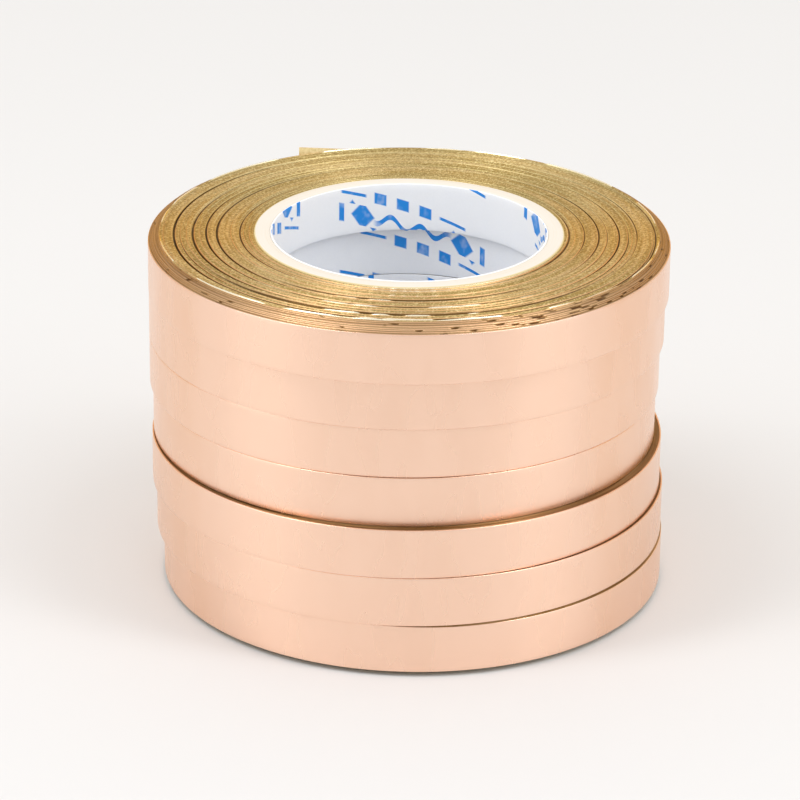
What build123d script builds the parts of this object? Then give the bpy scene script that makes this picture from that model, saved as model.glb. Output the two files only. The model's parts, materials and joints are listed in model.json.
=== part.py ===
from build123d import *

import os
from collections import namedtuple
from math import cos, radians, sin

# Seven rolls of narrow copper foil tape, stacked on end and slightly out of line.
# Millimetres, +Z up. The origin is the centre of the bottom roll's bore, on the floor.

# Driving dimensions
tape_width = 7.05
bore_radius = 19.05
lining_thickness = 0.25
core_outer_radius = 21.6
outer_turn_thickness = 0.2
slope_width = 1.5
bottom_rim_height = 0.7

# The free end of each tape: the foil and its release paper, a working gap off the winding
tail_gap = 0.3
backing_thickness = 0.1
foil_thickness = 0.1
tail_inset = 0.15
tail_root = 0.5
lifted_tail_length = 18.3
lying_tail_angle = 16.0

# One entry for each roll, from the bottom up.
# x, y: where its axis stands. radius: over the outer turn.
# rise: how far the core stands above the rim, or below it, because the outer turns have slipped.
# rim_width: the level rim outside the slope where they slipped.
# tail_azimuth: where the free end leaves the winding, counterclockwise from +X.
Roll = namedtuple("Roll", "x y radius rise rim_width tail_azimuth tail_lifted")
rolls = [
    Roll(0.0, 0.0, 35.55, -bottom_rim_height, 3.0, 118.0, False),
    Roll(-0.55, 0.1, 35.95, -0.4, 5.0, 72.0, False),
    Roll(-1.05, 0.3, 36.05, -0.1, 7.0, 96.0, False),
    Roll(-1.45, 1.15, 35.5, 0.2, 7.0, 60.0, False),
    Roll(-1.5, 1.8, 35.95, 0.5, 4.0, 105.0, False),
    Roll(-1.25, 1.8, 36.2, 0.8, 2.0, 80.0, False),
    Roll(-1.05, 0.25, 36.35, 1.1, 0.0, 87.0, True),
]


def floor_height(level):
    """Height of the rim's lower edge of the roll at this level, counted from 0 at the bottom."""
    return bottom_rim_height + level * tape_width


def tape_height(roll, radius):
    """How far the lower edge of the turn at this radius stands above the rim's."""
    inward = roll.radius - roll.rim_width - radius
    return roll.rise * min(max(inward / slope_width, 0.0), 1.0)


def save(part, name):
    part.label = name
    export_step(part, f"parts/{name}.step")


def save_tube(name, roll, level, inner_radius, outer_radius):
    """A plain tube as tall as the tape is wide, at the height of its own turn."""
    foot = floor_height(level) + tape_height(roll, inner_radius)
    with BuildPart() as tube:
        with BuildSketch(Plane.XY.offset(foot)):
            with Locations((roll.x, roll.y)):
                Circle(outer_radius)
                Circle(inner_radius, mode=Mode.SUBTRACT)
        extrude(amount=tape_width)
    save(tube.part, name)


def save_winding(name, roll, level):
    """All the turns under the last one, with the slope that their slipping gives both faces."""
    outer = roll.radius - outer_turn_thickness
    slope_foot = min(roll.radius - roll.rim_width, outer)
    slope_top = roll.radius - roll.rim_width - slope_width
    radii = sorted({core_outer_radius, slope_top, slope_foot, outer})
    lower = [(radius, tape_height(roll, radius)) for radius in radii]
    upper = [(radius, height + tape_width) for radius, height in reversed(lower)]
    section = Plane(origin=(roll.x, roll.y, floor_height(level)), x_dir=(1, 0, 0), z_dir=(0, -1, 0))
    with BuildPart() as winding:
        with BuildSketch(section):
            with BuildLine():
                Polyline(*lower, *upper, close=True)
            make_face()
        revolve(axis=Axis(section.origin, (0, 0, 1)))
    save(winding.part, name)


def tail_plane(roll, level):
    """X points straight out of the roll where its free end leaves, Y the way the tape was wound."""
    azimuth = radians(roll.tail_azimuth)
    origin = (roll.x, roll.y, floor_height(level) + tail_inset)
    return Plane(origin=origin, x_dir=(cos(azimuth), sin(azimuth), 0), z_dir=(0, 0, 1))


def save_lifted_tail(name, roll, level, inner_radius, thickness):
    """A free end that stands off along the tangent."""
    with BuildPart() as tail:
        with BuildSketch(tail_plane(roll, level)):
            with Locations((inner_radius + thickness / 2, (tail_root + lifted_tail_length) / 2)):
                Rectangle(thickness, lifted_tail_length - tail_root)
        extrude(amount=tape_width - 2 * tail_inset)
    save(tail.part, name)


def save_lying_tail(name, roll, level, inner_radius, thickness):
    """A free end that lies round the winding."""
    base = tail_plane(roll, level)
    section = Plane(origin=base.origin, x_dir=base.x_dir, z_dir=-base.y_dir)
    height = tape_width - 2 * tail_inset
    with BuildPart() as tail:
        with BuildSketch(section):
            with Locations((inner_radius + thickness / 2, height / 2)):
                Rectangle(thickness, height)
        revolve(axis=Axis(base.origin, (0, 0, 1)), revolution_arc=lying_tail_angle)
    save(tail.part, name)


os.makedirs("parts", exist_ok=True)

lining_outer_radius = bore_radius + lining_thickness

for level, roll in enumerate(rolls):
    owner = f"roll_{level + 1}"
    outer_turn_inner = roll.radius - outer_turn_thickness
    backing_radius = roll.radius + tail_gap
    foil_radius = backing_radius + backing_thickness
    save_tail = save_lifted_tail if roll.tail_lifted else save_lying_tail

    save_tube(f"{owner}_lining", roll, level, bore_radius, lining_outer_radius)
    save_tube(f"{owner}_core", roll, level, lining_outer_radius, core_outer_radius)
    save_winding(f"{owner}_winding", roll, level)
    save_tube(f"{owner}_outer_turn", roll, level, outer_turn_inner, roll.radius)
    save_tail(f"{owner}_tail_backing", roll, level, backing_radius, backing_thickness)
    save_tail(f"{owner}_tail_foil", roll, level, foil_radius, foil_thickness)
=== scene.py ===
"""Looks of the stack of copper foil tape rolls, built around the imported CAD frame."""

import json
import math

import bpy
import numpy as np
from mathutils import Matrix, Vector


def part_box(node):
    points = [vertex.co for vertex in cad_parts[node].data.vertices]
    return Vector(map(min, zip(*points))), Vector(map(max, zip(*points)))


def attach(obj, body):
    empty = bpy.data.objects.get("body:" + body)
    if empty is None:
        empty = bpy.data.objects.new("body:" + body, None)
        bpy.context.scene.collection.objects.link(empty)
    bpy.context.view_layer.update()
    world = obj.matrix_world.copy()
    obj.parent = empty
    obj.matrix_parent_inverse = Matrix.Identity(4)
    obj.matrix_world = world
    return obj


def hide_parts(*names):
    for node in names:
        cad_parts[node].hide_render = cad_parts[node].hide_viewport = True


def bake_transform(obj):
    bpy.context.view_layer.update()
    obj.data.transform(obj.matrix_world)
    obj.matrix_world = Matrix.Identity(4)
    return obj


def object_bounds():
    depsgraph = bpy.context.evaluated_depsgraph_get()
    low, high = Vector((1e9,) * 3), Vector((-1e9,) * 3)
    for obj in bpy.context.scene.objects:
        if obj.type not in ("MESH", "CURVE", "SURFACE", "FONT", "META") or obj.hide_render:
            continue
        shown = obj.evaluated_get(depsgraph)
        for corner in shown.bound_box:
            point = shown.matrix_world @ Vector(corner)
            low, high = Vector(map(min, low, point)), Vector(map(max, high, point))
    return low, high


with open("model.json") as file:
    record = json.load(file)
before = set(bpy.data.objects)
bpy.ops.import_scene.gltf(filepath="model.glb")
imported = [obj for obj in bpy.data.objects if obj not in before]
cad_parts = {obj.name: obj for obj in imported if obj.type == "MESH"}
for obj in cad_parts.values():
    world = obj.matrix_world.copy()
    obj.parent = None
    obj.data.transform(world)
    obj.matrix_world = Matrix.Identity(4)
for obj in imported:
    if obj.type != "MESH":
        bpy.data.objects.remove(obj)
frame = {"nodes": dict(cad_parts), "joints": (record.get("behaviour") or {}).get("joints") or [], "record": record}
cad_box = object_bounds()

MM = 0.001
TAU = 2 * math.pi

# The tape, seen edge on
TURN_PITCH = 0.11 * MM
LAP_STEP = 0.1 * MM
EDGE_ROUNDING = 0.09 * MM
ACROSS_TAPE = 0.25  # anisotropic rotation that spreads a highlight across the tape, not along it

# The print in the cores: rows of plain marks that climb round the bore
LINING_PROUD = 0.22 * MM  # how far a lower roll's lining stands up towards the next one
PRINT_REPEATS = 4
PRINT_TURNS = 3
PRINT_RISE = 38.5  # mm climbed in one turn
PRINT_CENTRE = math.radians(88)
PRINT_DEPTH = 6.9  # mm below the rim, at PRINT_CENTRE
ROW_SPACING = 3.1
ROW_SKEW = math.radians(4.8)
TAPE_MAP = "along_tape"  # u runs along the tape, v across it

# Colours are linear RGB
COPPER = (0.975, 0.675, 0.515)
COPPER_DEEP = (0.62, 0.3, 0.16)
EDGE_GOLD = (0.56, 0.375, 0.105)
EDGE_PALE = (0.86, 0.65, 0.32)
EDGE_DARK = (0.2, 0.105, 0.025)
GROOVE_SHADE = (0.11, 0.055, 0.012)
EDGE_GLINT = (1.0, 0.9, 0.68)
WALL_COPPER = (0.9, 0.55, 0.27)
WALL_PAPER = (0.85, 0.72, 0.36)
# RIM_BROWN is painted shade in the rim's tread corners, RIM_COPPER a painted highlight at their outer edges
RIM_BROWN = (0.3, 0.165, 0.055)
# Dark brown of the nicks, also used as painted shade on the lower rolls' ledges
NICK_AND_LEDGE_SHADE_BROWN = (0.12, 0.045, 0.01)
RIM_COPPER = (0.95, 0.6, 0.36)
CORE_CREAM = (0.78, 0.725, 0.645)
GLUE_YELLOW = (0.72, 0.58, 0.25)
LINING_WHITE = (0.975, 0.977, 0.982)
PRINT_BLUE = (0.01, 0.26, 0.76)
RELEASE_TAN = (0.68, 0.54, 0.24)
FLOOR_WHITE = (0.762, 0.762, 0.764)
SKY_ABOVE = (0.9, 0.905, 0.91)
SKY_FRONT = (0.72, 0.72, 0.72)
SKY_BOX = (1.05, 1.05, 1.05)
SKY_BEHIND = (0.82, 0.45, 0.02)

ROLL_COUNT = sum(name.endswith("_core") for name in frame["nodes"])
BORE_RADIUS = next(m["dims"]["r_mm"] for m in frame["record"]["mounts"] if m["kind"] == "bore") * MM
CORE_RADIUS = (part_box("roll_1_core")[1].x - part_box("roll_1_core")[0].x) / 2


# ---------------------------------------------------------------- the rolls, as the frame has them


class Roll:
    """Where one roll stands and how big it is, read from its CAD nodes."""

    def __init__(self, number):
        self.number = number
        self.name = f"roll_{number}"
        self.is_top = number == ROLL_COUNT
        low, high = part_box(f"{self.name}_outer_turn")
        self.centre = (low + high) / 2
        self.radius = (high.x - low.x) / 2
        self.foot = low.z
        self.width = high.z - low.z
        core_low, core_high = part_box(f"{self.name}_core")
        self.core_radius = (core_high.x - core_low.x) / 2
        self.core_foot = core_low.z
        lining_low, lining_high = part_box(f"{self.name}_lining")
        self.lining_radius = (lining_high.x - lining_low.x) / 2
        self.random = np.random.default_rng(400 + number)
        self.spin = 0.0 if self.is_top else self.random.uniform(0, TAU)
        self.slope_top = self.face_profile()[0][1]
        joint = next(j for j in frame["joints"] if j["name"] == f"{self.name}_tail_peel")
        self.hinge = Vector(joint["pos_m"])
        self.tail_angle = math.atan2(self.hinge.y - self.centre.y, self.hinge.x - self.centre.x)

    def origin(self, height):
        return Vector((self.centre.x, self.centre.y, height))

    def face_profile(self):
        """Radius and height above the foot of the upper face, from the CAD winding's own corners."""
        points = [v.co for v in frame["nodes"][f"{self.name}_winding"].data.vertices]
        middle = self.foot + self.width / 2
        profile = {}
        for point in points:
            radius = round(math.hypot(point.x - self.centre.x, point.y - self.centre.y), 5)
            if point.z > middle:
                profile[radius] = max(profile.get(radius, 0.0), point.z - self.foot)
        radii = sorted(profile)
        return np.array(radii), np.array([profile[r] for r in radii])


# ---------------------------------------------------------------- mesh helpers


def grid_object(name, points, close_rows, close_columns, shades=(), turns=1.0):
    """A mesh object over a grid of points, rows by columns by 3.

    shades are named values, one a point. turns is how far round a roll the columns reach.
    """
    rows, columns = points.shape[:2]
    index = np.arange(rows * columns).reshape(rows, columns)
    if close_rows:
        index = np.vstack([index, index[:1]])
    if close_columns:
        index = np.hstack([index, index[:, :1]])
    corners = (index[:-1, :-1], index[:-1, 1:], index[1:, 1:], index[1:, :-1])
    faces = np.stack([c.ravel() for c in corners], axis=1)
    mesh = bpy.data.meshes.new(name)
    mesh.from_pydata(points.reshape(-1, 3).tolist(), [], faces.tolist())
    mesh.polygons.foreach_set("use_smooth", np.full(len(mesh.polygons), True))
    for shade, values in dict(shades).items():
        attribute = mesh.attributes.new(shade, "FLOAT", "POINT")
        attribute.data.foreach_set("value", values.astype(np.float32).ravel())
    along_tape = mesh.uv_layers.new(name=TAPE_MAP)
    across, along = np.indices((index.shape[0] - 1, index.shape[1] - 1))
    u = np.stack([along, along + 1, along + 1, along], axis=2) / along.shape[1] * turns
    v = np.stack([across, across, across + 1, across + 1], axis=2) / along.shape[0]
    along_tape.uv.foreach_set("vector", np.stack([u, v], axis=3).astype(np.float32).ravel())
    mesh.update()
    thing = bpy.data.objects.new(name, mesh)
    bpy.context.scene.collection.objects.link(thing)
    return thing


def lathe(name, radii, heights, spin=0.0, shades=()):
    """A turned piece. radii and heights are rows by columns, one column for each azimuth."""
    azimuths = np.linspace(0, TAU, radii.shape[1], endpoint=False) + spin
    points = np.stack([radii * np.cos(azimuths), radii * np.sin(azimuths), heights], axis=2)
    return grid_object(name, points, True, True, shades)


def place(thing, roll, node, material, height):
    """Puts a piece that was built about its roll's axis into the frame, in place of a CAD node."""
    thing.matrix_world = Matrix.Translation(roll.origin(height))
    thing.data.materials.append(material)
    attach(thing, roll.name)
    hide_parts(f"{roll.name}_{node}")
    return thing


def smooth_step(value, low, high):
    t = np.clip((value - low) / (high - low), 0.0, 1.0)
    return t * t * (3 - 2 * t)


def ripple(random, azimuths, orders, size):
    """A slow random wave round the roll that meets itself."""
    wave = np.zeros_like(azimuths)
    for order in orders:
        wave += random.normal() / order**0.5 * np.cos(order * azimuths + random.uniform(0, TAU))
    return size * wave / len(orders) ** 0.5


def patches(random, azimuths, orders, low, high):
    """From 0 to 1 where a random wave rises from low to high times its usual size."""
    wave = ripple(random, azimuths, orders, 1.0)
    return smooth_step(wave / wave.std(), low, high)


def angle_between(azimuths, centre):
    return np.abs((azimuths - centre + math.pi) % TAU - math.pi)


# ---------------------------------------------------------------- node helpers


class Nodes:
    """Short names for making the nodes of one tree."""

    def __init__(self, tree):
        self.nodes = tree.nodes
        self.links = tree.links

    def put(self, socket, value):
        if isinstance(value, bpy.types.NodeSocket):
            self.links.new(value, socket)
        elif socket.type == "RGBA" and len(value) == 3:
            socket.default_value = (*value, 1.0)
        else:
            socket.default_value = value

    def add(self, kind, inputs=(), **settings):
        node = self.nodes.new(kind)
        for name, value in settings.items():
            setattr(node, name, value)
        for key, value in dict(inputs).items():
            self.put(node.inputs[key], value)
        return node

    def math(self, operation, a, b=0.0, c=0.0, clamp=False):
        node = self.add("ShaderNodeMath", operation=operation, use_clamp=clamp)
        for socket, value in zip(node.inputs, (a, b, c)):
            self.put(socket, value)
        return node.outputs[0]

    def mix(self, amount, a, b):
        node = self.add("ShaderNodeMix", data_type="RGBA")
        self.put(node.inputs["Factor"], amount)
        self.put(node.inputs[6], a)
        self.put(node.inputs[7], b)
        return node.outputs[2]

    def ramp(self, value, low, high, start=0.0, end=1.0):
        node = self.add("ShaderNodeMapRange", interpolation_type="SMOOTHSTEP")
        for socket, given in zip(node.inputs, (value, low, high, start, end)):
            self.put(socket, given)
        return node.outputs[0]

    def dot(self, vector, way):
        node = self.add("ShaderNodeVectorMath", {0: vector, 1: way}, operation="DOT_PRODUCT")
        return node.outputs["Value"]


class Shader(Nodes):
    """The nodes of one procedural material."""

    def __init__(self, name):
        self.material = bpy.data.materials.new(name)
        self.material.use_nodes = True
        super().__init__(self.material.node_tree)
        self.surface = self.nodes["Principled BSDF"]

    def set(self, **values):
        for name, value in values.items():
            self.put(self.surface.inputs[name.replace("_", " ")], value)

    def place(self):
        """Radius, azimuth and height about the roll's axis, in metres and radians."""
        position = self.add("ShaderNodeTexCoord").outputs["Object"]
        x, y, z = self.add("ShaderNodeSeparateXYZ", {0: position}).outputs
        squares = self.math("ADD", self.math("MULTIPLY", x, x), self.math("MULTIPLY", y, y))
        radius = self.math("SQRT", squares)
        tape_map = self.add("ShaderNodeUVMap", uv_map=TAPE_MAP).outputs[0]
        along = self.add("ShaderNodeSeparateXYZ", {0: tape_map}).outputs[0]
        return radius, self.math("MULTIPLY", along, TAU), z

    def round_noise(self, radius, azimuth, height, around, across, up=0.0, detail=2.0):
        """Noise seamless round the roll: so many features round it, and per metre across and up."""
        vector = self.add(
            "ShaderNodeCombineXYZ",
            {
                0: self.math("MULTIPLY", self.math("COSINE", azimuth), around / TAU),
                1: self.math("MULTIPLY", self.math("SINE", azimuth), around / TAU),
                2: self.math(
                    "ADD", self.math("MULTIPLY", radius, across), self.math("MULTIPLY", height, up)
                ),
            },
        ).outputs[0]
        noise = self.add("ShaderNodeTexNoise", {"Vector": vector, "Scale": 1.0, "Detail": detail})
        return noise.outputs[0]

    def outward(self):
        """How far the surface faces away from the roll's axis, from -1 to 1."""
        position = self.add("ShaderNodeTexCoord").outputs["Object"]
        level = self.add("ShaderNodeVectorMath", {0: position, 1: (1, 1, 0)}, operation="MULTIPLY")
        radial = level.outputs[0]
        radial = self.add("ShaderNodeVectorMath", {0: radial}, operation="NORMALIZE").outputs[0]
        return self.dot(self.add("ShaderNodeNewGeometry").outputs["Normal"], radial)

    def shade(self, name):
        return self.add("ShaderNodeAttribute", attribute_name=name).outputs["Fac"]

    def along_tape(self):
        return self.add("ShaderNodeTangent", direction_type="UV_MAP", uv_map=TAPE_MAP).outputs[0]

    def bump(self, height, distance, strength=1.0, below=None):
        node = self.add("ShaderNodeBump", {"Strength": strength, "Distance": distance, "Height": height})
        if below is not None:
            self.put(node.inputs["Normal"], below)
        return node.outputs[0]


# ---------------------------------------------------------------- materials


def foil_material():
    """Bright rolled copper foil: soft mirror with faint draw lines along the tape."""
    s = Shader("copper_foil")
    radius, azimuth, height = s.place()
    bands = s.round_noise(radius, azimuth, height, around=40, across=0.0, up=60.0)
    draw_lines = s.round_noise(radius, azimuth, height, around=6, across=0.0, up=2600.0, detail=1.0)
    tarnish = s.round_noise(radius, azimuth, height, around=60, across=0.0, up=300.0, detail=3.0)
    colour = s.mix(s.ramp(bands, 0.35, 0.7, 0.0, 0.1), COPPER, (0.9, 0.56, 0.36))
    colour = s.mix(s.ramp(tarnish, 0.55, 0.85, 0.0, 0.04), colour, COPPER_DEEP)
    roughness = s.ramp(bands, 0.3, 0.7, 0.25, 0.29)
    normal = s.bump(draw_lines, 0.0015 * MM, 0.3)
    s.set(Base_Color=colour, Metallic=1.0, Roughness=roughness, Normal=normal)
    s.set(Anisotropic=0.95, Anisotropic_Rotation=ACROSS_TAPE, Tangent=s.along_tape())
    return s.material


def edge_material():
    """The face of the winding: the edges of foil, adhesive and paper, turn beside turn."""
    s = Shader("wound_edges")
    radius, azimuth, height = s.place()
    turn = s.math("ADD", s.math("DIVIDE", radius, TURN_PITCH), s.math("DIVIDE", azimuth, TAU))
    each_turn = s.add("ShaderNodeTexWhiteNoise", {"W": s.math("FLOOR", turn)}, noise_dimensions="1D")
    streaks = s.round_noise(radius, azimuth, height, around=14, across=2600.0, detail=3.0)
    groups = s.round_noise(radius, azimuth, height, around=5, across=500.0, detail=2.0)
    grain = s.round_noise(radius, azimuth, height, around=800, across=4300.0, detail=3.0)
    sparkle = s.round_noise(radius, azimuth, height, around=640, across=2900.0, detail=2.0)

    colour = s.mix(s.ramp(streaks, 0.3, 0.7), EDGE_GOLD, EDGE_PALE)
    colour = s.mix(s.ramp(groups, 0.4, 0.65, 0.0, 0.75), colour, (0.42, 0.29, 0.07))
    colour = s.mix(s.math("MULTIPLY", each_turn.outputs["Value"], 0.25), colour, EDGE_DARK)
    colour = s.mix(s.ramp(grain, 0.5, 0.68, 0.0, 0.5), colour, EDGE_DARK)
    # Painted highlight: bright sparkle flecks are painted into the colour, with dark flecks among them
    colour = s.mix(s.ramp(sparkle, 0.5, 0.66, 0.0, 0.55), colour, (1.0, 0.86, 0.46))
    colour = s.mix(s.ramp(sparkle, 0.46, 0.34, 0.0, 0.35), colour, EDGE_DARK)
    outward = s.outward()
    colour = s.mix(s.ramp(outward, 0.1, 0.6, 0.0, 0.85), colour, WALL_COPPER)
    colour = s.mix(s.ramp(outward, -0.1, -0.6, 0.0, 0.7), colour, WALL_PAPER)
    sunk = s.shade("sunk")
    # Painted shade: deep grooves and sunk groups of turns are painted dark
    colour = s.mix(s.ramp(sunk, 0.13, 0.26, 0.0, 0.95), colour, GROOVE_SHADE)
    # Painted glint: ridge tops are painted a pale glint colour, with lower roughness
    glint = s.ramp(sunk, 0.04, 0.0)
    colour = s.mix(glint, colour, EDGE_GLINT)
    # Painted shade and highlight on the rim: treads run from RIM_BROWN in their corners to RIM_COPPER at their
    # edges, and nicks go dark
    worn = s.shade("worn")
    rim = s.mix(worn, RIM_BROWN, RIM_COPPER)
    rim = s.mix(s.ramp(worn, 0.0, -0.5, 0.0, 0.95), rim, NICK_AND_LEDGE_SHADE_BROWN)
    rim = s.mix(s.ramp(streaks, 0.4, 0.7, 0.0, 0.35), rim, (0.75, 0.5, 0.25))
    colour = s.mix(s.shade("slipped"), colour, rim)

    ridge = s.math("SINE", s.math("MULTIPLY", turn, TAU))
    relief = s.math("ADD", s.math("MULTIPLY", ridge, 0.5), s.math("MULTIPLY", streaks, 1.5))
    relief = s.math("ADD", relief, s.math("MULTIPLY", grain, 1.6))
    relief = s.math("MULTIPLY", relief, s.math("SUBTRACT", 1.0, glint))
    roughness = s.math("SUBTRACT", s.ramp(grain, 0.3, 0.7, 0.32, 0.46), s.math("MULTIPLY", glint, 0.14))
    s.set(Base_Color=colour, Metallic=0.9, Roughness=roughness, Normal=s.bump(relief, 0.014 * MM, 0.8))
    s.set(Anisotropic=0.9, Anisotropic_Rotation=ACROSS_TAPE, Tangent=s.along_tape())
    return s.material


def core_material():
    """White card, cut square, with its plies just showing."""
    s = Shader("core_board")
    radius, azimuth, height = s.place()
    plies = s.round_noise(radius, azimuth, height, around=12, across=4500.0, up=60.0)
    fibre = s.round_noise(radius, azimuth, height, around=700, across=4000.0, up=3000.0, detail=4.0)
    colour = s.mix(s.ramp(plies, 0.45, 0.75, 0.0, 0.35), CORE_CREAM, (0.75, 0.66, 0.5))
    colour = s.mix(s.ramp(fibre, 0.5, 0.75, 0.0, 0.25), colour, (0.84, 0.8, 0.74))
    glued_edge = s.ramp(radius, CORE_RADIUS - 0.3 * MM, CORE_RADIUS - 0.08 * MM, 0.0, 0.85)
    colour = s.mix(glued_edge, colour, GLUE_YELLOW)
    relief = s.math("ADD", plies, s.math("MULTIPLY", fibre, 0.6))
    s.set(Base_Color=colour, Roughness=s.ramp(fibre, 0.3, 0.7, 0.5, 0.68))
    s.set(Normal=s.bump(relief, 0.03 * MM, 0.5))
    return s.material


def printed_marks(s, azimuth, depth):
    """1 on the blue marks: bars, lozenges and a wave between two rows of dashes and squares."""
    along = s.math("SUBTRACT", azimuth, PRINT_CENTRE)
    climb = s.math("MULTIPLY", along, PRINT_RISE / TAU)
    down = s.math("SUBTRACT", s.math("ADD", depth, climb), PRINT_DEPTH)
    band = PRINT_RISE / PRINT_TURNS
    down = s.math("SUBTRACT", s.math("FLOORED_MODULO", s.math("ADD", down, band / 2), band), band / 2)
    row_number = s.math("ROUND", s.math("DIVIDE", down, ROW_SPACING))
    along = s.math("ADD", along, s.math("MULTIPLY", row_number, ROW_SKEW))
    repeat = TAU / PRINT_REPEATS
    along = s.math("FLOORED_MODULO", s.math("ADD", along, repeat / 2), repeat)
    along = s.math("DEGREES", s.math("SUBTRACT", along, repeat / 2))
    out = s.math("ABSOLUTE", along)
    row = s.math("ABSOLUTE", s.math("SUBTRACT", s.math("ABSOLUTE", down), ROW_SPACING))
    level = s.math("ABSOLUTE", down)

    def mark(centre, half_width, half_height, offset, lozenge=False):
        across = s.math("DIVIDE", s.math("ABSOLUTE", s.math("SUBTRACT", out, centre)), half_width)
        up = s.math("DIVIDE", offset, half_height)
        reach = s.math("ADD" if lozenge else "MAXIMUM", across, up)
        return s.ramp(reach, 1.08, 0.86)

    swell = s.math("MULTIPLY", s.math("SINE", s.math("MULTIPLY", along, TAU / 13)), 0.75)
    wave = mark(0, 17, 0.42, s.math("ABSOLUTE", s.math("SUBTRACT", down, swell)))
    marks = [
        mark(0, 2.7, 0.85, row),
        mark(9.8, 2.7, 0.85, row),
        mark(22, 6, 0.24, row),
        mark(22.5, 5.5, 2.2, level, lozenge=True),
        mark(32.5, 1.3, 1.4, level),
    ]
    for other in marks:
        wave = s.math("MAXIMUM", wave, other)
    return wave


def lining_material():
    """Smooth white paper printed in blue with plain marks and no lettering."""
    s = Shader("printed_lining")
    radius, azimuth, height = s.place()
    fibre = s.round_noise(radius, azimuth, height, around=500, across=0.0, up=2500.0, detail=4.0)
    mottle = s.round_noise(radius, azimuth, height, around=70, across=0.0, up=400.0)
    paper = s.mix(s.ramp(fibre, 0.4, 0.7, 0.0, 0.2), LINING_WHITE, (0.9, 0.91, 0.94))
    marks = printed_marks(s, azimuth, s.math("DIVIDE", height, -MM))
    ink = s.math("MULTIPLY", marks, s.ramp(mottle, 0.25, 0.5, 0.6, 1.0))
    inside = s.ramp(radius, BORE_RADIUS + 0.12 * MM, BORE_RADIUS + 0.06 * MM)
    colour = s.mix(s.math("MULTIPLY", ink, inside), paper, PRINT_BLUE)
    s.set(Base_Color=colour, Roughness=s.ramp(fibre, 0.3, 0.7, 0.38, 0.5))
    s.set(Normal=s.bump(fibre, 0.01 * MM, 0.4))
    return s.material


def release_material():
    """Waxed release paper, tan, with a faint weave of fibres."""
    s = Shader("release_paper")
    position = s.add("ShaderNodeTexCoord").outputs["Object"]
    fibre = s.add("ShaderNodeTexNoise", {"Vector": position, "Scale": 2500.0, "Detail": 5.0}).outputs[0]
    colour = s.mix(s.ramp(fibre, 0.35, 0.7), RELEASE_TAN, (0.82, 0.68, 0.36))
    s.set(Base_Color=colour, Roughness=s.ramp(fibre, 0.3, 0.7, 0.35, 0.55))
    s.set(Normal=s.bump(fibre, 0.01 * MM, 0.4))
    return s.material


def floor_material():
    s = Shader("floor")
    position = s.add("ShaderNodeTexCoord").outputs["Object"]
    mottle = s.add("ShaderNodeTexNoise", {"Vector": position, "Scale": 6.0, "Detail": 2.0}).outputs[0]
    colour = s.mix(s.ramp(mottle, 0.3, 0.7), FLOOR_WHITE, tuple(c * 0.99 for c in FLOOR_WHITE))
    s.set(Base_Color=colour, Roughness=0.7)
    return s.material


# ---------------------------------------------------------------- the winding


# On the top roll: radius in mm, depth in mm, half width in mm,
# then the azimuth it is deepest at and its spread in degrees
TOP_GROOVES = [
    (22.2, 0.3, 0.12, -20, 60),
    (23.4, 0.25, 0.1, 200, 60),
    (24.6, 0.2, 0.08, -75, 40),
    (26.0, 0.55, 0.26, -92, 30),
    (26.8, 0.4, 0.12, 205, 70),
    (28.2, 0.5, 0.12, -150, 75),
    (28.2, 0.5, 0.24, -90, 30),
    (29.9, 0.45, 0.13, 212, 75),
    (30.6, 0.4, 0.1, -35, 45),
    (31.1, 0.7, 0.32, -95, 36),
    (32.0, 0.3, 0.08, -135, 40),
    (32.8, 0.5, 0.13, 205, 95),
    (32.8, 0.5, 0.2, -88, 34),
    (33.9, 0.35, 0.1, -50, 40),
    (24.5, 0.2, 0.09, 5, 45),
    (26.2, 0.3, 0.1, 15, 45),
    (27.5, 0.2, 0.08, -15, 45),
    (29.2, 0.3, 0.12, 0, 55),
    (31.6, 0.25, 0.09, 20, 45),
    (34.2, 0.25, 0.1, -5, 50),
]
TOP_BURR = 0.14  # mm that the top roll's ridges stand above the CAD face
FACE_SLACK = 0.1  # mm that the wound face stands below the CAD face, room for its ridges
RIM_STEPS = 7
# Across each step of the rim: the share of its width, how far it is sunk and how light it is painted, from painted
# shade in the inside corner to a painted highlight at the outer edge
TREAD_POINTS = [
    (0.02, 0.0, 0.0),
    (0.3, 0.0, 0.25),
    (0.8, 0.0, 0.7),
    (0.97, 0.02 * MM, 1.0),
]
GROOVE_HALF_WIDTH = 0.12  # mm, on a lower roll
GROOVE_SPREAD = 90  # degrees, on a lower roll
TOP_GRID = (560, 280, 30)  # columns round the winding, rows over its face, rows under it
LOWER_GRID = (240, 90, 30)
LEDGE = 2.4 * MM  # how far in from its rim a lower roll is painted brown and darker: its own brown edges and painted shade under the roll above
LEDGE_SHADE_AND_BROWN = -0.25
OPEN_SEAMS = {1: 0.35 * MM}  # how far a roll's outer turn has dropped from the roll above
FRONT = -math.pi / 2


def grooves_for(roll):
    if roll.is_top:
        return TOP_GROOVES
    found = []
    for radius in np.arange(23.0, roll.radius / MM - 2.0, 1.7):
        depth = roll.random.uniform(0.05, 0.2)
        middle = radius + roll.random.uniform(-0.6, 0.6)
        deepest = roll.random.uniform(0, 360)
        found.append((middle, depth, GROOVE_HALF_WIDTH, deepest, GROOVE_SPREAD))
    return found


def groups_of_turns(roll):
    """Outer radius in mm of each group of turns that stands at one height, and that height in mm."""
    edge, edges, heights = roll.core_radius / MM, [], []
    while edge < roll.radius / MM:
        edge += roll.random.choice([0.11, 0.22, 0.33, 0.55, 0.88])
        edges.append(edge)
        heights.append(roll.random.uniform(-0.06, 0.05))
    return np.array(edges), np.array(heights)


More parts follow.
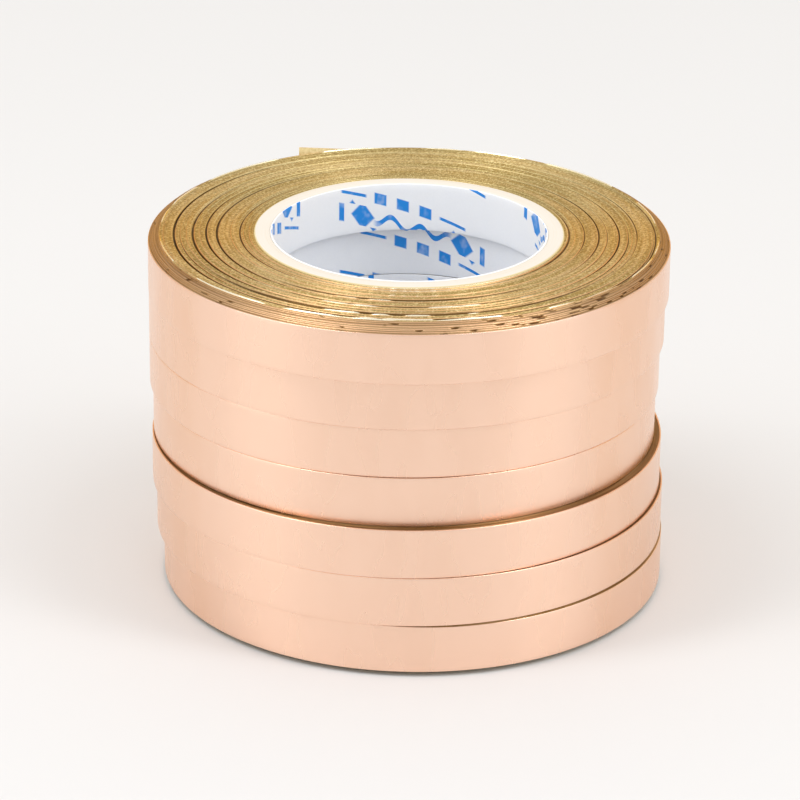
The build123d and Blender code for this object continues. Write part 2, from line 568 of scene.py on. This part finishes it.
def face_relief(roll, radii, azimuths):
    """How far the wound face is sunk below the CAD face. radii is rows by columns."""
    edges, heights = groups_of_turns(roll)
    last = len(edges) - 1
    group = np.minimum(np.searchsorted(edges, radii / MM), last)
    swing = roll.random.normal(0, 0.025, last + 1)
    phase = roll.random.uniform(0, TAU, last + 1)
    sunk = FACE_SLACK + heights[group] + swing[group] * np.cos(azimuths + phase[group])
    for radius, depth, half_width, centre, spread in grooves_for(roll):
        strength = np.exp(-((np.degrees(angle_between(azimuths, math.radians(centre))) / spread) ** 2))
        breaks = ripple(roll.random, azimuths, range(5, 60, 6), 0.5)
        strength = strength * np.clip(0.85 + breaks, 0.0, 1.2)
        line = radius + 0.12 * np.sin(azimuths + radius) + 0.06 * np.sin(3 * azimuths + 2 * radius)
        across = (radii / MM - line) / half_width
        burred = np.exp(-((angle_between(azimuths, FRONT) / 0.8) ** 2))
        burred = burred * patches(roll.random, azimuths, range(7, 60, 5), -0.2, 0.8)
        burr = np.exp(-((across - 2.0) ** 2)) * 0.35 * burred
        sunk = sunk + depth * strength * (np.exp(-(across**2)) - burr)
    if roll.is_top:
        ridge = np.exp(-(((radii[-1] - radii) / MM - 0.16) ** 2) / 0.02)
        sunk = sunk - 0.22 * ridge * patches(roll.random, azimuths, range(4, 40, 4), -0.6, 0.2)
        inner_turns = smooth_step(radii / MM, 25.6, 25.2)
        scuffed = np.exp(-((angle_between(azimuths, FRONT) / 0.24) ** 4)) * inner_turns
        sunk = sunk - 0.035 * scuffed * patches(roll.random, azimuths, range(50, 200, 11), 0.2, 0.9)
        return np.maximum(sunk, -TOP_BURR) * MM
    return np.maximum(sunk, 0.0) * MM


def stepped_rim(roll, azimuths, outer, face_height, rim_height):
    """Radii, heights and painted light and shade, with nicks, of the rim where the outer turns slipped, a tread
    and a riser for each.
    """
    slope_top = roll.slope_top - 1.2 * MM * np.exp(-((angle_between(azimuths, FRONT) / 0.9) ** 2))
    drop = (face_height - rim_height) / RIM_STEPS
    widths = roll.random.uniform(0.4, 1.6, (RIM_STEPS, 1)) * np.ones(len(azimuths))
    widths += [ripple(roll.random, azimuths, range(2, 26, 3), 0.12) for _ in range(RIM_STEPS)]
    widths = np.maximum(widths, 0.2)
    treads = widths / widths.sum(axis=0) * (outer - slope_top)
    starts = slope_top + np.cumsum(treads, axis=0) - treads
    tones = roll.random.uniform(0.55, 1.0, RIM_STEPS)
    # Painted highlight: the treads are painted brighter towards the front
    painted_front_shine = 0.5 + 0.8 * np.exp(-((angle_between(azimuths, FRONT) / 0.8) ** 2))
    radii, heights, tread_light_and_nicks = [], [], []
    for step in range(RIM_STEPS):
        sag = drop * np.clip(0.3 + ripple(roll.random, azimuths, range(2, 30, 3), 0.35), 0.0, 0.8)
        nicked = np.exp(-((angle_between(azimuths, FRONT + 0.65) / 0.42) ** 2))
        scarce = 1.9 - 1.3 * nicked
        nicks = patches(roll.random, azimuths, range(20, 110, 7), scarce, scarce + 0.5)
        level = face_height - drop * (step + 1) + sag * (step < RIM_STEPS - 1)
        for share, sink, worn in TREAD_POINTS:
            radii.append(starts[step] + treads[step] * share)
            heights.append(level - sink - nicks * 0.15 * MM)
            tread_light_and_nicks.append(worn * tones[step] * painted_front_shine * (1 - nicks) - nicks)
    return slope_top, np.array(radii), np.array(heights), np.array(tread_light_and_nicks)


def build_winding(roll, material):
    columns, rows, lower_rows = TOP_GRID if roll.is_top else LOWER_GRID
    azimuths = np.linspace(0, TAU, columns, endpoint=False)
    outer = roll.radius - LAP_STEP * 1.2
    profile_radii, profile_heights = roll.face_profile()
    fractions = np.linspace(0, 1, rows)[:, None]
    around = np.ones(columns)
    if roll.is_top:
        rim = stepped_rim(roll, azimuths, outer, profile_heights[0], profile_heights[-1])
        edge, rim_radii, rim_heights, rim_light_and_nicks = rim
    else:
        edge = outer * around
        rim_radii = rim_heights = rim_light_and_nicks = np.zeros((0, columns))
    radii = roll.core_radius + fractions * (edge - roll.core_radius)
    relief = face_relief(roll, radii, azimuths)
    face_height = profile_heights[0] if roll.is_top else np.interp(radii, profile_radii, profile_heights)
    lower_radii = np.linspace(outer, roll.core_radius, lower_rows)[:, None] * around
    lower_relief = face_relief(roll, lower_radii, azimuths)
    lower = np.interp(lower_radii, profile_radii, profile_heights) - roll.width + lower_relief
    sunk = np.vstack([relief, rim_heights * 0 + FACE_SLACK * MM, lower_relief])
    # On a lower roll the ledge near the rim is painted brown, with painted shade from the roll above
    ledge = np.zeros_like(radii) if roll.is_top else smooth_step(radii, outer - LEDGE, outer - LEDGE / 2)
    shades = {
        "sunk": sunk / MM,
        "slipped": np.vstack([ledge, rim_heights * 0 + 1, lower_relief * 0]),
        "worn": np.vstack([relief * 0 + LEDGE_SHADE_AND_BROWN, rim_light_and_nicks, lower_relief * 0]),
    }
    all_radii = np.vstack([radii, rim_radii, lower_radii])
    all_heights = np.vstack([face_height - relief, rim_heights, lower])
    piece = lathe(f"{roll.name}_wound_turns", all_radii, all_heights, roll.spin, shades)
    return place(piece, roll, "winding", material, roll.foot)


def build_outer_turn(roll, material):
    """The last wrap, a spiral that steps down by one tape where the free end leaves it."""
    columns = 360
    azimuths = np.linspace(0, TAU, columns, endpoint=False)
    lap = ((azimuths - roll.tail_angle + roll.spin) % TAU) / TAU
    swell = ripple(roll.random, azimuths, range(2, 9), 0.006 * MM)
    swell += ripple(roll.random, azimuths, range(14, 40, 3), 0.0015 * MM)
    skin = roll.radius - LAP_STEP * (1 - lap) - (swell.max() - swell)
    corner = np.linspace(0, math.pi / 2, 4)
    inset = EDGE_ROUNDING * (1 - np.cos(corner))
    rise = EDGE_ROUNDING * (1 - np.sin(corner))
    offsets = [(-2.5 * EDGE_ROUNDING, 0.0)]
    offsets += [(-i, r) for i, r in zip(inset[::-1], rise[::-1])]
    heights = np.linspace(0.1, 0.9, 7) * roll.width
    outer_rows = [(o[0], o[1]) for o in offsets] + [(0.0, h) for h in heights]
    outer_rows += [(o[0], roll.width - o[1]) for o in reversed(offsets)]
    wander = ripple(roll.random, azimuths, range(1, 7), 0.012 * MM)
    radii = np.array([skin + row[0] for row in outer_rows])
    levels = np.array([np.full(columns, row[1]) for row in outer_rows])
    sag = np.clip(np.abs(wander), 0, 0.04 * MM)
    opening = smooth_step(np.cos(azimuths + roll.spin), -0.35, 0.2)
    sag = sag + OPEN_SEAMS.get(roll.number, 0.0) * opening
    levels = np.where(levels > roll.width / 2, levels - sag, levels)
    piece = lathe(f"{roll.name}_last_wrap", radii, levels, roll.spin)
    return place(piece, roll, "outer_turn", material, roll.foot)


# ---------------------------------------------------------------- the core and its lining


def rounded_tube(name, inner, outer, height, rounding, spin, columns=240, rows=5, waver=None):
    """A tube whose four rims are rounded over."""
    corner = np.linspace(0, math.pi / 2, 4)
    section = []
    section += [
        (outer - rounding * (1 - math.cos(a)), rounding * (1 - math.sin(a))) for a in corner[::-1]
    ]
    section += [(outer, h) for h in np.linspace(rounding, height - rounding, rows)[1:-1]]
    section += [
        (outer - rounding * (1 - math.cos(a)), height - rounding * (1 - math.sin(a))) for a in corner
    ]
    section += [
        (inner + rounding * (1 - math.cos(a)), height - rounding * (1 - math.sin(a))) for a in corner[::-1]
    ]
    section += [(inner, h) for h in np.linspace(height - rounding, rounding, rows)[1:-1]]
    section += [(inner + rounding * (1 - math.cos(a)), rounding * (1 - math.sin(a))) for a in corner]
    radii = np.array([[r] * columns for r, _ in section])
    heights = np.array([[h] * columns for _, h in section])
    if waver is not None:
        heights = heights - np.where(heights > height / 2, waver[None, :], 0.0)
    return lathe(name, radii, heights, spin)


def build_core(roll, core_board, lining_paper):
    columns = 240
    azimuths = np.linspace(0, TAU, columns, endpoint=False)
    waver = np.abs(ripple(roll.random, azimuths, range(1, 8), 0.02 * MM))
    core = rounded_tube(
        f"{roll.name}_core_board",
        roll.lining_radius,
        roll.core_radius,
        roll.width,
        0.3 * MM,
        roll.spin,
        columns,
        5,
        waver,
    )
    place(core, roll, "core", core_board, roll.core_foot)
    lining = rounded_tube(
        f"{roll.name}_core_print",
        BORE_RADIUS,
        roll.lining_radius,
        roll.width + (0.0 if roll.is_top else LINING_PROUD),
        0.1 * MM,
        roll.print_spin,
        columns,
        9,
    )
    rim = roll.print_rim
    lining.data.transform(Matrix.Translation((0, 0, roll.core_foot - rim)))
    place(lining, roll, "lining", lining_paper, rim)


# ---------------------------------------------------------------- the free ends


def tail_path(roll):
    """Distance along the free end and, where it lifts off, out from the roll's axis."""
    low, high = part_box(f"{roll.name}_tail_foil")
    tangent = Vector((-math.sin(roll.tail_angle), math.cos(roll.tail_angle), 0))
    corners = [Vector((x, y, low.z)) for x in (low.x, high.x) for y in (low.y, high.y)]
    length = max((corner - roll.hinge).dot(tangent) for corner in corners)
    along = np.linspace(-0.8 * MM, length, 40)
    if roll.is_top:
        return along, roll.radius + 0.02 * MM + 0.35 * MM * smooth_step(along, 0.0, length)
    return along, None


def build_tail(roll, foil, paper):
    """The free end of the foil and the release paper under it, bent out of the last wrap."""
    low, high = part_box(f"{roll.name}_tail_foil")
    along, out = tail_path(roll)
    width = high.z - low.z
    for node, material, stand_off, thickness in (
        ("tail_backing", paper, 0.0, 0.07 * MM),
        ("tail_foil", foil, 0.08 * MM, 0.06 * MM),
    ):
        rows = []
        for inner in (True, False):
            depth = stand_off + (0.0 if inner else thickness)
            if out is None:
                lift = 0.25 * MM * smooth_step(along, 0.0, 10 * MM) + 0.01 * MM
                reach = roll.radius + lift + depth
                turn = along / roll.radius
                across = np.stack([reach * np.cos(turn), reach * np.sin(turn)], axis=1)
            else:
                start = np.sqrt(np.maximum(roll.radius**2 - np.minimum(along, 0) ** 2, 0)) - roll.radius
                across = np.stack([out + depth + start, along], axis=1)
            rows.append(across)
        inner, outer = rows
        levels = np.linspace(0, width, 6)
        grid = []
        for level in levels:
            grid.append(np.column_stack([outer, np.full(len(along), level)]))
        for level in levels[::-1]:
            grid.append(np.column_stack([inner, np.full(len(along), level)]))
        turns = (along[-1] - along[0]) / (TAU * roll.radius)
        piece = grid_object(f"{roll.name}_{node}_strip", np.array(grid), True, False, turns=turns)
        turn = Matrix.Rotation(roll.tail_angle, 4, "Z")
        piece.matrix_world = Matrix.Translation(roll.origin(low.z)) @ turn
        piece.data.materials.append(material)
        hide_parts(f"{roll.name}_{node}")
        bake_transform(piece)


# ---------------------------------------------------------------- build the rolls

foil = foil_material()
edges = edge_material()
core_board = core_material()
lining_paper = lining_material()
release_paper = release_material()

rolls = [Roll(number) for number in range(1, ROLL_COUNT + 1)]
for upper, lower in zip(rolls[::-2], rolls[-2::-2] + [rolls[0]]):
    for roll in (upper, lower):
        roll.print_rim = upper.core_foot + upper.width
        roll.print_spin = upper.spin
for roll in rolls:
    build_winding(roll, edges)
    build_outer_turn(roll, foil)
    build_core(roll, core_board, lining_paper)
    build_tail(roll, foil, release_paper)


# ---------------------------------------------------------------- floor, light and camera


def build_floor():
    side = 6.0
    line = np.linspace(-side / 2, side / 2, 9)
    points = np.array([[(x, y, 0.0) for x in line] for y in line])
    floor = grid_object("floor", points, False, False)
    floor.location.z = cad_box[0][2] - 0.00002
    floor.data.materials.append(floor_material())


def add_panel(name, azimuth, elevation, distance, size, power, colour=(1, 1, 1)):
    """A soft box that faces the stack. Azimuth 0 is behind the camera, positive to its right."""
    data = bpy.data.lights.new(name, "AREA")
    data.shape = "RECTANGLE"
    data.size, data.size_y = size
    data.energy = power
    data.color = colour
    lamp = bpy.data.objects.new(name, data)
    bpy.context.scene.collection.objects.link(lamp)
    a, e = math.radians(azimuth), math.radians(elevation)
    way = Vector((math.sin(a) * math.cos(e), -math.cos(a) * math.cos(e), math.sin(e)))
    lamp.location = way * distance
    lamp.rotation_euler = (-way).to_track_quat("-Z", "Y").to_euler()


def build_sky():
    """A light tent: white overhead, a soft box each side of the camera, a warm dim room low behind."""
    world = bpy.data.worlds.new("light_tent")
    world.use_nodes = True
    bpy.context.scene.world = world
    s = Nodes(world.node_tree)
    way = s.add("ShaderNodeTexCoord").outputs["Generated"]
    height = s.add("ShaderNodeSeparateXYZ", {0: way}).outputs[2]
    level = s.add("ShaderNodeVectorMath", {0: way, 1: (1, 1, 0)}, operation="MULTIPLY").outputs[0]
    level = s.add("ShaderNodeVectorMath", {0: level}, operation="NORMALIZE").outputs[0]
    low = s.ramp(height, 0.5, 0.2)
    boxes = s.ramp(s.dot(level, (0.1, -1, 0)), 1.0, 0.25)
    behind = s.ramp(s.dot(level, (-0.1, -1, 0)), -0.07, -0.11)
    front = s.mix(boxes, SKY_FRONT, SKY_BOX)
    around = s.mix(behind, front, SKY_BEHIND)
    s.put(s.nodes["Background"].inputs["Color"], s.mix(low, SKY_ABOVE, around))
    s.put(s.nodes["Background"].inputs["Strength"], 1.0)


def add_camera():
    pitch, roll_angle, distance = math.radians(23.03), math.radians(0.74), 0.556
    aim = Vector((-0.00203, -0.0086, 0.02935))
    data = bpy.data.cameras.new("camera")
    data.sensor_width = 36.0
    data.lens = 180.0
    data.clip_end = 20.0
    camera = bpy.data.objects.new("camera", data)
    bpy.context.scene.collection.objects.link(camera)
    forward = Vector((0, math.cos(pitch), -math.sin(pitch)))
    camera.location = aim - forward * distance
    spin = Matrix.Rotation(roll_angle, 4, "Z")
    camera.matrix_world = (
        Matrix.Translation(camera.location) @ forward.to_track_quat("-Z", "Y").to_matrix().to_4x4() @ spin
    )
    bpy.context.scene.camera = camera


build_floor()
add_panel("left_soft_box", -67, 32, 1.0, (0.48, 0.7), 1.3)
add_panel("right_soft_box", 64, 32, 1.0, (0.46, 0.7), 1.25)
add_panel("left_strip_light", -66, 62, 1.0, (0.14, 0.5), 1.7)
add_panel("right_strip_light", 64, 62, 1.0, (0.14, 0.5), 1.45)
add_camera()
build_sky()
bpy.context.scene.view_settings.view_transform = "Standard"
